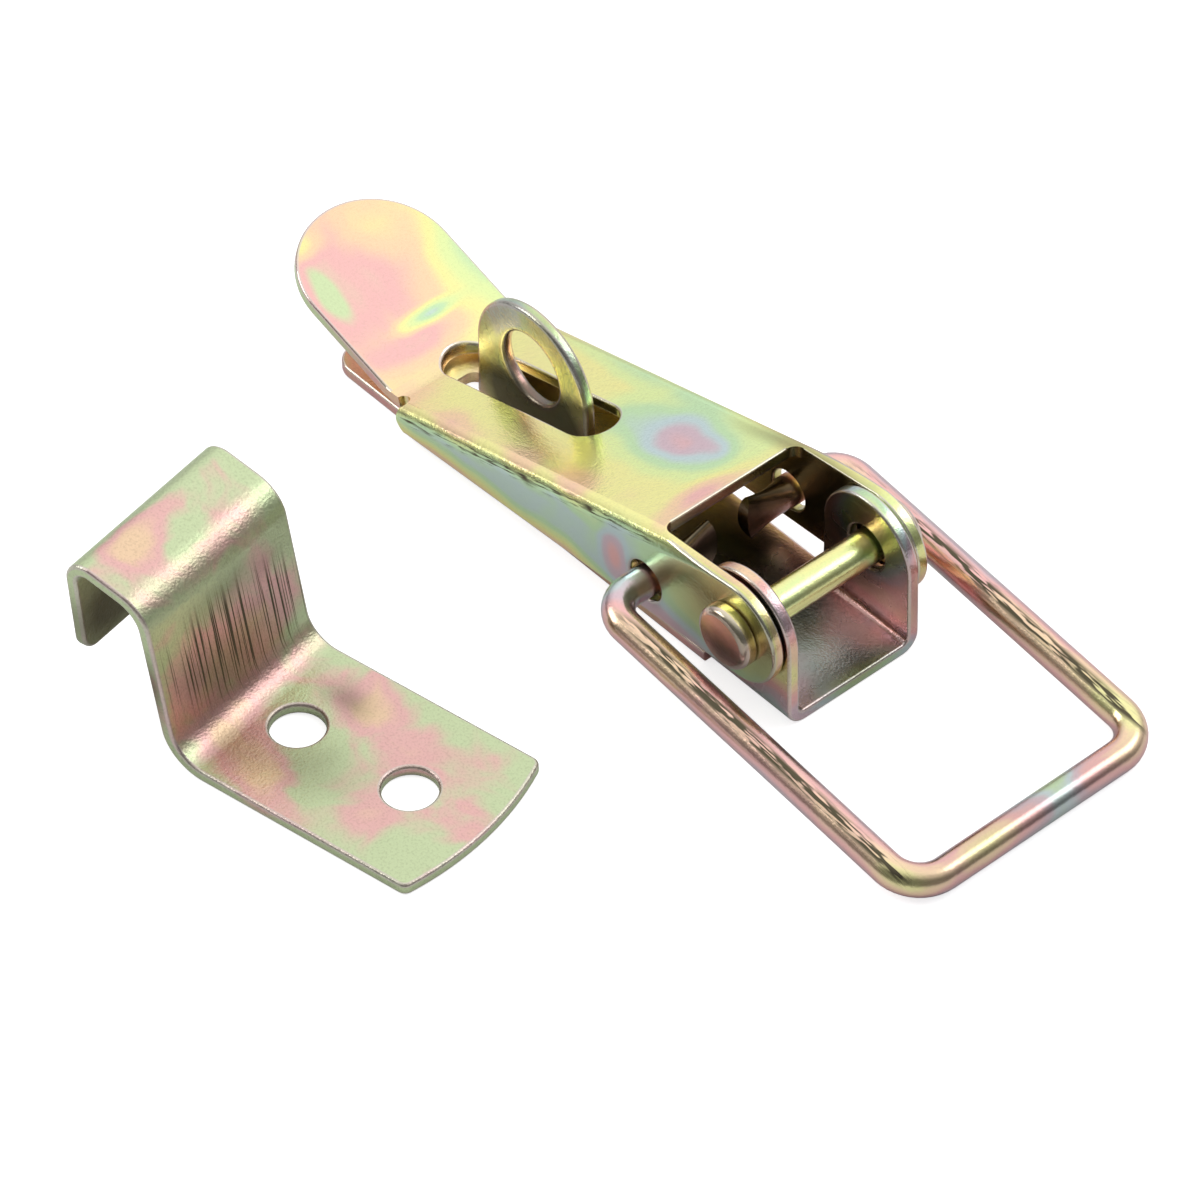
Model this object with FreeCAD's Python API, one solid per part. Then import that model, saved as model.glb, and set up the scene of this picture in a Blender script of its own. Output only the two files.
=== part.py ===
import FreeCAD, Part
import math
import os

# Over centre toggle latch with its catch plate, in millimetres and degrees.
# X runs forward towards the bail, Y across the latch and Z up. The origin lies on the
# underside of the base plate, straight below the pivot pin.

# Sheet steel of the three folded pieces
SHEET = 1.6

# Pivot: a riveted pin that turns in wide holes of the base ears
PIVOT_HEIGHT = 11.6
PIN_RADIUS = 2.2
PIN_PLAY = 0.8
RIVET_FIT = 0.02
RIVET_HEAD_RADIUS = 4.1
RIVET_HEAD_HEIGHT = 2.1
RIVET_RIM = 0.5

# Base plate
BASE_WIDTH = 20.0
BASE_EAR_RADIUS = 7.3
BASE_EAR_BEND = 0.9
BASE_PAST_LEVER = 14.0
BASE_CORNER = 3.0

# Padlock eye, a tongue folded up out of the base plate
EYE_BACK = 48.0
EYE_RADIUS = 9.8
EYE_HOLE_RADIUS = 4.9
EYE_CENTRE_HEIGHT = 10.6
EYE_HOLE_RISE = 1.2
EYE_BEND = 0.5
EYE_RELIEF = 3.0

# Screw holes of the base plate
SCREW_RADIUS = 2.25
SCREW_FROM_END = 7.0
SCREW_FROM_EYE = 4.7

# Lever
LEVER_SIDE_GAP = 0.25
LEVER_BEND = 0.4
LEVER_NOSE_RADIUS = 6.8
LEVER_PAST_EYE = 2.2
LEVER_SLOPE = 15.5
LEVER_REAR_GAP = 0.9
LEVER_REAR_ROUND = 2.2
FLANGE_LIFT = 0.9
TOP_FRONT_BACK = 14.0
TOP_FRONT_CORNER = 1.4

# Slot of the lever that the padlock eye stands in
SLOT_SIDE_GAP = 2.6
SLOT_FRONT_GAP = 3.7
SLOT_REAR_GAP = 5.2

# Thumb tab of the lever
TAB_RISE = 17.0
TAB_WIDTH = 20.4
TAB_BEND = 6.5
TAB_START = 2.2
TAB_LENGTH = 25.6
TAB_NOTCH = 0.9

# Wire bail
WIRE_RADIUS = 2.0
BAIL_BACK = 15.3
BAIL_HEIGHT = 8.4
BAIL_LENGTH = 52.5
BAIL_HOLE_PLAY = 0.7
BAIL_ARM_GAP = 2.0
BAIL_ELBOW = 3.8
BAIL_CORNER = 4.6

# Hammered ends of the bail inside the lever
LEAF_THICKNESS = 1.8
LEAF_WIDTH = 7.8
LEAF_NECK = 2.2
LEAF_NECK_SPREAD = 1.15
FAR_LEAF_LENGTH = 6.8
FAR_LEAF_DROP = 0.6
NEAR_LEAF_LENGTH = 8.5
NEAR_LEAF_DROP = 0.2

# Catch plate
CATCH_WIDTH = 24.6
CATCH_HEIGHT = 24.7
CATCH_FOOT = 34.5
CATCH_FRONT_BULGE = 1.9
CATCH_FRONT_CORNER = 1.2
CATCH_LEAN = 9.0
CATCH_HEEL_BEND = 4.2
CATCH_HOOK_SPAN = 8.7
CATCH_HOOK_FALL = 13.0
CATCH_HOOK_BEND = 3.6
CATCH_REAR_BEND = 1.5
CATCH_LIP_LENGTH = 13.9
CATCH_LIP_LEAN = 4.0
CATCH_LIP_CORNER = 2.0
CATCH_HOLE_RADIUS = 3.3
CATCH_HOLE_FROM_HEEL = 9.0
CATCH_HOLE_SPACING = 16.4

# Where the catch plate lies beside the latch
CATCH_X = -38.4
CATCH_Y = -53.7
CATCH_TURN = 11.0

# Places that follow from the sizes above
BASE_HALF = BASE_WIDTH / 2
LEVER_INNER = BASE_HALF + LEVER_SIDE_GAP
LEVER_OUTER = LEVER_INNER + SHEET
LEVER_REAR = -(EYE_BACK + EYE_RADIUS + LEVER_PAST_EYE)
BASE_REAR = LEVER_REAR - BASE_PAST_LEVER
BAIL_ARM = LEVER_OUTER + RIVET_HEAD_HEIGHT + BAIL_ARM_GAP + WIRE_RADIUS
EYE_FOLD_EDGE = SHEET / 2 + EYE_BEND
SCREW_REAR = BASE_REAR + SCREW_FROM_END
SCREW_FRONT = -EYE_BACK + EYE_RADIUS + EYE_RELIEF + SCREW_FROM_EYE
UNDERSIDE_REAR = SHEET + LEVER_REAR_GAP
SLOPE = math.radians(LEVER_SLOPE)
SHORTEST_RUN = 0.001

ALONG = FreeCAD.Vector(1, 0, 0)
ACROSS = FreeCAD.Vector(0, 1, 0)
UP = FreeCAD.Vector(0, 0, 1)
PIVOT = FreeCAD.Vector(0, 0, PIVOT_HEIGHT)
BAIL_AXIS = FreeCAD.Vector(-BAIL_BACK, 0, BAIL_HEIGHT)


def side_point(x, z):
    """Point of the vertical plane through the middle of the latch."""
    return FreeCAD.Vector(x, 0, z)


def side_direction(angle):
    """Unit vector of that plane, an angle in radians above the X axis."""
    return side_point(math.cos(angle), math.sin(angle))


def left_of(direction):
    """The same vector turned a quarter turn, from X towards Z."""
    return side_point(-direction.z, direction.x)


def underside_height(x):
    """Height of the top plate's underside above the ground."""
    return UNDERSIDE_REAR + (x - LEVER_REAR) * math.tan(SLOPE)


def top_height(x):
    return underside_height(x) + SHEET / math.cos(SLOPE)


def along_slope(x):
    """Distance from the lever's rear end, measured along its top plate."""
    return (x - LEVER_REAR) / math.cos(SLOPE)


def unit(vector):
    return vector * (1 / vector.Length)


def line(start, end):
    return Part.LineSegment(start, end).toShape()


def closed_face(edges):
    return Part.Face(Part.Wire(Part.__sortEdges__(edges)))


def rounded_edges(corners, radii):
    """Straight runs between the corners of an open path, with tangent arcs at the bends."""
    edges = []
    start = corners[0]
    for before, corner, after, radius in zip(corners, corners[1:], corners[2:], radii):
        into = unit(corner - before)
        out = unit(after - corner)
        half_turn = into.getAngle(out) / 2
        reach = radius * math.tan(half_turn)
        rise = radius / math.cos(half_turn) - radius
        arc_start = corner - into * reach
        arc_end = corner + out * reach
        arc_middle = corner + unit(out - into) * rise
        if start.distanceToPoint(arc_start) > SHORTEST_RUN:
            edges.append(line(start, arc_start))
        if radius > 0:
            edges.append(Part.Arc(arc_start, arc_middle, arc_end).toShape())
        start = arc_end
    edges.append(line(start, corners[-1]))
    return edges


def offset_corners(corners, distance):
    """Corners of the same open path moved to its left, mitred at each bend."""
    runs = [unit(after - before) for before, after in zip(corners, corners[1:])]
    arriving = [runs[0]] + runs
    leaving = runs + [runs[-1]]
    moved = []
    for corner, into, out in zip(corners, arriving, leaving):
        mitre = (left_of(into) + left_of(out)) * (1 / (1 + into.dot(out)))
        moved.append(corner + mitre * distance)
    return moved


def turns_left(before, corner, after):
    return left_of(corner - before).dot(after - corner) > 0


def sheet_section(corners, inside_radii):
    """Face of a folded sheet seen on edge. The corners lie on its right-hand side."""
    right_radii = []
    left_radii = []
    for before, corner, after, inside in zip(corners, corners[1:], corners[2:], inside_radii):
        left_turn = turns_left(before, corner, after)
        right_radii.append(inside + SHEET if left_turn else inside)
        left_radii.append(inside if left_turn else inside + SHEET)
    left_corners = offset_corners(corners, SHEET)
    edges = rounded_edges(corners, right_radii)
    edges.append(line(corners[-1], left_corners[-1]))
    edges += rounded_edges(left_corners[::-1], left_radii[::-1])
    edges.append(line(left_corners[0], corners[0]))
    return closed_face(edges)


def across(face, half_width):
    """Solid that a side face makes when it is drawn out evenly to both sides."""
    solid = face.extrude(ACROSS * (2 * half_width))
    solid.translate(ACROSS * -half_width)
    return solid


def cross_section(face):
    """Turn a side face so that its X runs across the latch."""
    turned = face.copy()
    turned.rotate(FreeCAD.Vector(), UP, 90)
    return turned


def drill_across(centre, radius, half_width):
    return Part.makeCylinder(radius, 2 * half_width, centre - ACROSS * half_width, ACROSS)


def drill_down(x, y, radius):
    return Part.makeCylinder(radius, 2 * SHEET, FreeCAD.Vector(x, y, -SHEET / 2), UP)


def tangent_point(point, centre, radius, side):
    """Where a line from the point touches the circle, above it (1) or below it (-1)."""
    reach = centre - point
    to_centre = math.atan2(reach.z, reach.x)
    spread = math.asin(radius / reach.Length)
    touch_length = math.sqrt(reach.Length ** 2 - radius ** 2)
    return point + side_direction(to_centre + side * spread) * touch_length


def arch_face(centre_x, spring_height, radius):
    """Upright outline in side view, straight from the ground and closed by a half circle."""
    left = side_point(centre_x - radius, spring_height)
    right = side_point(centre_x + radius, spring_height)
    crown = side_point(centre_x, spring_height + radius)
    left_foot = side_point(centre_x - radius, 0)
    right_foot = side_point(centre_x + radius, 0)
    edges = [
        line(left_foot, right_foot),
        line(right_foot, right),
        Part.Arc(right, crown, left).toShape(),
        line(left, left_foot),
    ]
    return closed_face(edges)


def block(low, high):
    """Box between two opposite corners."""
    low = FreeCAD.Vector(*low)
    size = FreeCAD.Vector(*high) - low
    return Part.makeBox(size.x, size.y, size.z, low)


def upright_edges(solid, side):
    """Vertical edges of a solid in front of the origin (1) or behind it (-1)."""
    return [
        edge
        for edge in solid.Edges
        if edge.BoundBox.XLength < SHORTEST_RUN
        and edge.BoundBox.YLength < SHORTEST_RUN
        and side * edge.BoundBox.Center.x > 0
    ]


def plan_outline(corners, radii):
    """Closed face in the XY plane with rounded corners, starting on a straight edge."""
    flat = [side_point(x, y) for x, y in corners]
    face = closed_face(rounded_edges(flat, radii))
    face.rotate(FreeCAD.Vector(), FreeCAD.Vector(1, 0, 0), -90)
    return face


def base_strip():
    """Flat floor behind the ears, with rounded rear corners."""
    front = -BASE_EAR_RADIUS
    corners = [
        (front, BASE_HALF),
        (BASE_REAR, BASE_HALF),
        (BASE_REAR, -BASE_HALF),
        (front, -BASE_HALF),
        (front, BASE_HALF),
    ]
    return plan_outline(corners, [BASE_CORNER, BASE_CORNER, 0]).extrude(UP * SHEET)


def base_cradle():
    """Front of the base plate: floor and both ears, folded to a channel."""
    height = PIVOT_HEIGHT + BASE_EAR_RADIUS
    corners = [
        side_point(-BASE_HALF, height),
        side_point(-BASE_HALF, 0),
        side_point(BASE_HALF, 0),
        side_point(BASE_HALF, height),
    ]
    section = cross_section(sheet_section(corners, [BASE_EAR_BEND, BASE_EAR_BEND]))
    section.translate(ALONG * -BASE_EAR_RADIUS)
    channel = section.extrude(ALONG * (2 * BASE_EAR_RADIUS))
    ears = across(arch_face(0, PIVOT_HEIGHT, BASE_EAR_RADIUS), BASE_HALF)
    return channel.common(ears)


def eye_tongue():
    """Padlock eye with its fold and the short flat that joins it to the floor."""
    corners = [
        side_point(-SHEET / 2, EYE_CENTRE_HEIGHT + EYE_RADIUS),
        side_point(-SHEET / 2, 0),
        side_point(EYE_FOLD_EDGE + SHEET, 0),
    ]
    section = cross_section(sheet_section(corners, [EYE_BEND]))
    section.translate(ALONG * (-EYE_BACK - EYE_RADIUS))
    tongue = section.extrude(ALONG * (2 * EYE_RADIUS))
    outline = across(arch_face(-EYE_BACK, EYE_CENTRE_HEIGHT, EYE_RADIUS), BASE_HALF)
    hole_centre = side_point(-EYE_BACK, EYE_CENTRE_HEIGHT + EYE_HOLE_RISE)
    hole = drill_across(hole_centre, EYE_HOLE_RADIUS, BASE_HALF)
    return tongue.common(outline).cut(hole)


def eye_window():
    """Opening that the tongue leaves in the floor, with a round-ended relief at each side."""
    round_end = EYE_RELIEF / 2
    half_length = EYE_RADIUS + EYE_RELIEF
    side_edge = -BASE_HALF - SHEET
    window = block(
        (-EYE_BACK - half_length, side_edge, -SHEET),
        (-EYE_BACK + half_length, EYE_FOLD_EDGE - round_end, 2 * SHEET),
    )
    under_fold = block(
        (-EYE_BACK - EYE_RADIUS, side_edge, -SHEET),
        (-EYE_BACK + EYE_RADIUS, EYE_FOLD_EDGE, 2 * SHEET),
    )
    window = window.fuse(under_fold)
    for side in (-1, 1):
        x = -EYE_BACK + side * (EYE_RADIUS + round_end)
        window = window.fuse(drill_down(x, EYE_FOLD_EDGE - round_end, round_end))
    return window


def base_plate():
    """One folded sheet: floor strip, two pivot ears and the padlock eye."""
    floor = base_strip().cut(eye_window())
    plate = floor.fuse([base_cradle(), eye_tongue()])
    holes = [drill_across(PIVOT, PIN_RADIUS + PIN_PLAY, BASE_WIDTH)]
    for x in (SCREW_REAR, SCREW_FRONT):
        holes.append(drill_down(x, 0, SCREW_RADIUS))
    return plate.cut(holes).removeSplitter()


def flange_outline():
    """Side view of the lever without its thumb tab, open above the top plate."""
    shoulder_height = top_height(-TOP_FRONT_BACK)
    shoulder = side_point(-TOP_FRONT_BACK, shoulder_height)
    heel = side_point(LEVER_REAR, FLANGE_LIFT)
    nose_top = tangent_point(shoulder, PIVOT, LEVER_NOSE_RADIUS, 1)
    nose_bottom = tangent_point(heel, PIVOT, LEVER_NOSE_RADIUS, -1)
    nose_tip = PIVOT + ALONG * LEVER_NOSE_RADIUS
    above = shoulder_height + 2 * SHEET
    corners = [
        nose_bottom,
        heel,
        side_point(LEVER_REAR, above),
        side_point(-TOP_FRONT_BACK, above),
        shoulder,
        nose_top,
    ]
    edges = rounded_edges(corners, [LEVER_REAR_ROUND, 0, 0, 0])
    edges.append(Part.Arc(nose_top, nose_tip, nose_bottom).toShape())
    return closed_face(edges)


def sloping_bar(half_width, top, bend):
    """Long solid below the sloping top plate, with its two upper edges rounded."""
    depth = 2 * (PIVOT_HEIGHT + LEVER_NOSE_RADIUS)
    corners = [
        side_point(-half_width, -depth),
        side_point(-half_width, top),
        side_point(half_width, top),
        side_point(half_width, -depth),
        side_point(-half_width, -depth),
    ]
    section = cross_section(closed_face(rounded_edges(corners, [bend, bend, 0])))
    length = -2 * LEVER_REAR
    bar = section.extrude(ALONG * length)
    bar.translate(ALONG * (-length / 4))
    return on_slope(bar)


def on_slope(shape):
    """Carry a shape from the origin to the underside of the top plate at its rear end."""
    shape.rotate(FreeCAD.Vector(), ACROSS, -LEVER_SLOPE)
    shape.translate(side_point(LEVER_REAR, UNDERSIDE_REAR))
    return shape


def lever_channel():
    """Top plate and both flanges, folded along two rounded edges."""
    hull = across(flange_outline(), LEVER_OUTER)
    hull = hull.common(sloping_bar(LEVER_OUTER, SHEET, LEVER_BEND + SHEET))
    hollow = sloping_bar(LEVER_INNER, 0, LEVER_BEND)
    open_front = block(
        (-TOP_FRONT_BACK, -LEVER_INNER, -PIVOT_HEIGHT),
        (2 * LEVER_NOSE_RADIUS, LEVER_INNER, 3 * PIVOT_HEIGHT),
    )
    open_front = open_front.makeFillet(TOP_FRONT_CORNER, upright_edges(open_front, -1))
    return hull.cut([hollow, open_front])


def thumb_tab():
    """Tab that bends up behind the flanges and ends in a half circle."""
    half_width = TAB_WIDTH / 2
    rise = math.radians(TAB_RISE)
    outward = side_direction(math.pi - rise)
    apex = side_point(LEVER_REAR - TAB_START, underside_height(LEVER_REAR - TAB_START))
    rear_of_plate = LEVER_REAR + 2 * SHEET
    corners = [
        apex + outward * TAB_LENGTH,
        apex,
        side_point(rear_of_plate, underside_height(rear_of_plate)),
    ]
    tab = across(sheet_section(corners, [TAB_BEND]), half_width)
    tip_centre = apex + outward * (TAB_LENGTH - half_width)
    through = -left_of(outward)
    tip = Part.makeCylinder(half_width, 4 * SHEET, tip_centre - through * SHEET, through)
    behind_centre = block(
        (-TAB_LENGTH, -half_width, -2 * SHEET),
        (0, half_width, 4 * SHEET),
    )
    behind_centre.rotate(FreeCAD.Vector(), ACROSS, TAB_RISE)
    behind_centre.translate(tip_centre)
    return tab.cut(behind_centre.cut(tip))


def slot_tool():
    """Round-ended slot across the top plate that lets the padlock eye through."""
    half_width = SHEET / 2 + SLOT_SIDE_GAP
    front = along_slope(-EYE_BACK + EYE_RADIUS + SLOT_FRONT_GAP) - half_width
    rear = along_slope(-EYE_BACK - EYE_RADIUS - SLOT_REAR_GAP) + half_width
    depth = 3 * SHEET
    tool = block((rear, -half_width, -depth), (front, half_width, 2 * depth))
    for x in (rear, front):
        end = Part.makeCylinder(half_width, 3 * depth, side_point(x, -depth), UP)
        tool = tool.fuse(end)
    return on_slope(tool)


def tab_notches():
    """Small round reliefs where the thumb tab leaves the flanges."""
    notches = []
    for side in (-1, 1):
        centre = FreeCAD.Vector(0, side * TAB_WIDTH / 2, -SHEET / 2)
        notches.append(on_slope(Part.makeCylinder(TAB_NOTCH, 2 * SHEET, centre, UP)))
    return notches


def lever():
    """One folded sheet: slotted top plate, two flanges with ears, and the thumb tab."""
    body = lever_channel().fuse(thumb_tab())
    tools = [slot_tool()] + tab_notches()
    tools.append(drill_across(PIVOT, PIN_RADIUS + RIVET_FIT, LEVER_OUTER + SHEET))
    tools.append(drill_across(BAIL_AXIS, WIRE_RADIUS + BAIL_HOLE_PLAY, LEVER_OUTER + SHEET))
    return body.cut(tools).removeSplitter()


def pivot_pin():
    """Rivet through both pairs of ears, with a flat head at each end."""
    pin = drill_across(PIVOT, PIN_RADIUS, LEVER_OUTER)
    for side in (-1, 1):
        seat = PIVOT + ACROSS * (side * LEVER_OUTER)
        head = Part.makeCylinder(RIVET_HEAD_RADIUS, RIVET_HEAD_HEIGHT, seat, ACROSS * side)
        face_y = side * (LEVER_OUTER + RIVET_HEAD_HEIGHT)
        rim = [edge for edge in head.Edges if abs(edge.BoundBox.Center.y - face_y) < RIVET_RIM / 2]
        pin = pin.fuse(head.makeChamfer(RIVET_RIM, rim))
    return pin.removeSplitter()


def bail_wire():
    """Round wire from one flange hole round the loop to the other, at rest on the ground."""
    corners = [
        side_point(0, BASE_HALF),
        side_point(0, BAIL_ARM),
        side_point(BAIL_LENGTH, BAIL_ARM),
        side_point(BAIL_LENGTH, -BAIL_ARM),
        side_point(0, -BAIL_ARM),
        side_point(0, -BASE_HALF),
    ]
    path = Part.Wire(rounded_edges(corners, [BAIL_ELBOW, BAIL_CORNER, BAIL_CORNER, BAIL_ELBOW]))
    section = Part.Wire(Part.Circle(corners[0], UP, WIRE_RADIUS).toShape())
    wire = path.makePipeShell([section], True, False)
    wire.rotate(FreeCAD.Vector(), ALONG, -90)
    droop = math.degrees(math.asin((BAIL_HEIGHT - WIRE_RADIUS) / BAIL_LENGTH))
    wire.rotate(FreeCAD.Vector(), ACROSS, droop)
    wire.translate(BAIL_AXIS)
    return wire


def oval(centre, width, thickness):
    """Ellipse across the wire's end, upright, or a circle where both sizes agree."""
    if width == thickness:
        curve = Part.Circle(centre, ACROSS, width / 2)
    else:
        curve = Part.Ellipse(centre + UP * (width / 2), centre + ALONG * (thickness / 2), centre)
    return Part.Wire(curve.toShape())


def bail_leaf(side, length, drop):
    """End of the wire inside the lever, hammered to an upright fan that can't pull out."""
    root = BAIL_AXIS + ACROSS * (side * BASE_HALF)
    inward = ACROSS * -side
    neck = root + inward * LEAF_NECK - UP * (drop * LEAF_NECK / length)
    tip = root + inward * length - UP * drop
    sections = [
        oval(root, 2 * WIRE_RADIUS, 2 * WIRE_RADIUS),
        oval(neck, 2 * WIRE_RADIUS * LEAF_NECK_SPREAD, (2 * WIRE_RADIUS + LEAF_THICKNESS) / 2),
        oval(tip, LEAF_WIDTH, LEAF_THICKNESS),
    ]
    fan = Part.makeLoft(sections, True)
    reach = Part.makeCylinder(length, 2 * LEAF_WIDTH, root - ALONG * LEAF_WIDTH, ALONG)
    return fan.common(reach)


def wire_bail():
    """One bent wire with a hammered leaf at each end."""
    leaves = [
        bail_leaf(1, FAR_LEAF_LENGTH, FAR_LEAF_DROP),
        bail_leaf(-1, NEAR_LEAF_LENGTH, NEAR_LEAF_DROP),
    ]
    return bail_wire().fuse(leaves).removeSplitter()


def hook_corners():
    """Rear and front corners of the hook's underside, which falls towards the front."""
    fall = math.radians(CATCH_HOOK_FALL)
    up_the_lip = side_direction(math.pi / 2 + math.radians(CATCH_LIP_LEAN))
    down_the_top = side_direction(-fall)
    outward = unit(up_the_lip - down_the_top)
    half_turn = up_the_lip.getAngle(down_the_top) / 2
    bend_centre_height = CATCH_HEIGHT - SHEET - CATCH_REAR_BEND
    rear_height = bend_centre_height + outward.z * CATCH_REAR_BEND / math.cos(half_turn)
    front_height = rear_height - CATCH_HOOK_SPAN * math.tan(fall)
    front = side_point(-front_height * math.tan(math.radians(CATCH_LEAN)), front_height)
    rear = side_point(front.x - CATCH_HOOK_SPAN, rear_height)
    return rear, front


def catch_profile():
    """Edge view of the catch plate, from the lip over the hook and down to the foot."""
    hook_rear, hook_front = hook_corners()
    lip_drop = hook_rear.z - (CATCH_HEIGHT - CATCH_LIP_LENGTH)
    lip_shift = lip_drop * math.tan(math.radians(CATCH_LIP_LEAN))
    lip_end = hook_rear + side_point(lip_shift, -lip_drop)
    toe = side_point(CATCH_FOOT + CATCH_FRONT_BULGE, 0)
    corners = [lip_end, hook_rear, hook_front, side_point(0, 0), toe]
    return sheet_section(corners, [CATCH_REAR_BEND, CATCH_HOOK_BEND, CATCH_HEEL_BEND])


def round_lip(plate):
    """Round the two free corners of the lip."""
    lip_end_height = CATCH_HEIGHT - CATCH_LIP_LENGTH
    corners = [
        edge
        for edge in plate.Edges
        if abs(edge.Length - SHEET) < SHORTEST_RUN
        and abs(edge.BoundBox.Center.z - lip_end_height) < SHEET / 2
        and edge.BoundBox.Center.x < 0
    ]
    return plate.makeFillet(CATCH_LIP_CORNER, corners)


def catch_outline():
    """Plan of the catch plate: straight sides and a bowed front edge with eased corners."""
    half_width = CATCH_WIDTH / 2
    rear = -2 * CATCH_HEIGHT
    left = FreeCAD.Vector(CATCH_FOOT, half_width, -SHEET)
    right = FreeCAD.Vector(CATCH_FOOT, -half_width, -SHEET)
    middle = FreeCAD.Vector(CATCH_FOOT + CATCH_FRONT_BULGE, 0, -SHEET)
    rear_left = FreeCAD.Vector(rear, half_width, -SHEET)
    rear_right = FreeCAD.Vector(rear, -half_width, -SHEET)
    edges = [
        Part.Arc(left, middle, right).toShape(),
        line(right, rear_right),
        line(rear_right, rear_left),
        line(rear_left, left),
    ]
    blank = closed_face(edges).extrude(UP * (CATCH_HEIGHT + 2 * SHEET))
    return blank.makeFillet(CATCH_FRONT_CORNER, upright_edges(blank, 1))


def catch_plate():
    """One folded sheet: a drilled foot, a leaning riser and the hook that takes the bail."""
    plate = across(catch_profile(), CATCH_WIDTH / 2).common(catch_outline())
    plate = round_lip(plate)
    holes = []
    for number in range(2):
        x = CATCH_HOLE_FROM_HEEL + number * CATCH_HOLE_SPACING
        holes.append(drill_down(x, 0, CATCH_HOLE_RADIUS))
    plate = plate.cut(holes).removeSplitter()
    plate.rotate(FreeCAD.Vector(), UP, CATCH_TURN)
    plate.translate(FreeCAD.Vector(CATCH_X, CATCH_Y, 0))
    return plate


PIECES = {
    "base_plate": base_plate,
    "lever": lever,
    "pivot_pin": pivot_pin,
    "wire_bail": wire_bail,
    "catch_plate": catch_plate,
}

os.makedirs("parts", exist_ok=True)
for name, make in PIECES.items():
    solid = make().Solids[0]
    solid.exportStep("parts/" + name + ".step")
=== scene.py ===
import math

import bmesh
import bpy
from bpy.props import FloatProperty, FloatVectorProperty, PointerProperty
from mathutils import Matrix, Vector


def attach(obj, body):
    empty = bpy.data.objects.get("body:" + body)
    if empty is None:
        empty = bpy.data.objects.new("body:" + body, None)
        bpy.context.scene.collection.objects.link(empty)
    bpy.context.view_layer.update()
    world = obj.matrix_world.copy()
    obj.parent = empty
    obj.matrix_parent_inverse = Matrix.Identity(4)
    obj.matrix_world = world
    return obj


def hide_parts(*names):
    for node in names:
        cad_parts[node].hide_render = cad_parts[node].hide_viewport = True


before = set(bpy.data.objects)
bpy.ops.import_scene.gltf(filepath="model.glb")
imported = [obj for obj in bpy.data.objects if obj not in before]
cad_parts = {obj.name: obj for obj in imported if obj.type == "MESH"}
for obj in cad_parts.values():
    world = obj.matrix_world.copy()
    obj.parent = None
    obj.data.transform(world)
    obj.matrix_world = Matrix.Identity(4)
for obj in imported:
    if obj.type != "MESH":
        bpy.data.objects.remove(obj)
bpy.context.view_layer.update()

bl_info = {
    "name": "Over Centre Toggle Latch",
    "version": (1, 0, 0),
    "blender": (4, 5, 0),
    "location": "3D View > Sidebar > Toggle Latch",
    "description": "Dresses the packed toggle latch in yellow zinc plating and sets up its studio",
    "category": "Object",
}

MM = 0.001
WHITE = (1.0, 1.0, 1.0, 1.0)

# Edges of the sheet: what counts as a cut edge or as one flat face, and how it is rounded
SHARP = math.radians(38)
SAME_PLANE = math.radians(0.4)
ROUND_SEGMENTS = 3
EYE_ROUND = 0.50 * MM
CATCH_ROUND = 0.42 * MM

# Facets shorter than this, in millimetres, are closed up before the rounding
FINE_WELD = 0.002
EAR_WELD = 0.1

# Where the upright padlock eye begins above the strip, and how far it reaches to each side
EYE_FOOT = 2.0 * MM
EYE_SIDE = 1.0 * MM

# How the catch plate is turned beside the latch
CATCH_TURN = math.radians(11)

# The Mix node's colour sockets share their names with its number sockets, so they go by place
MIX_AMOUNT = 0
MIX_FIRST = 6
MIX_SECOND = 7
MIX_RESULT = 2

# Grain of the plating
NOISE_MIDDLE = 0.5
FINE_GRAIN = 3200.0
COARSE_GRAIN = 900.0
GRAIN_DEPTH = 0.04 * MM
CLOUD_SCALE = 150.0
CLOUD_REACH = 0.16
PIT_LEVEL = 0.52
PIT_SHARPNESS = 5.0

# Most that worn edges, painted shade and pits show over the film, and what streaks do
WORN_SHARE = 0.7
SHADE_SHARE = 0.85
FLECK_SHARE = 0.12
STREAK_SHARPNESS = 14.0
STREAK_ROUGHNESS = 0.2

# Floor, and a sky that rises from its low to its high level towards its brightest point
FLOOR_HALF = 1.5
FLOOR_DROP = 0.05 * MM
FLOOR_COLOUR = (0.80, 0.80, 0.81, 1.0)
FLOOR_ROUGHNESS = 0.9
FLOOR_GLOW = 0.72
SKY_BRIGHTEST = (-0.30, 0.45, 0.84)
SKY_SPAN = (0.15, 0.97)
SKY_LEVELS = (0.2, 1.28)

# Softboxes, each with its place and its side, the point that they face, and the share of
# the left one's power that the right one has
STUDIO_MIDDLE = (-0.03, -0.02, 0.0)
LEFT_SOFTBOX = ((-0.66, -0.58, 0.54), 0.5)
RIGHT_SOFTBOX = ((0.36, 0.66, 0.82), 0.55)
RIGHT_SHARE = 0.7

# Range of the camera
NEAREST_SEEN = 0.05
FURTHEST_SEEN = 10.0


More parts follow.
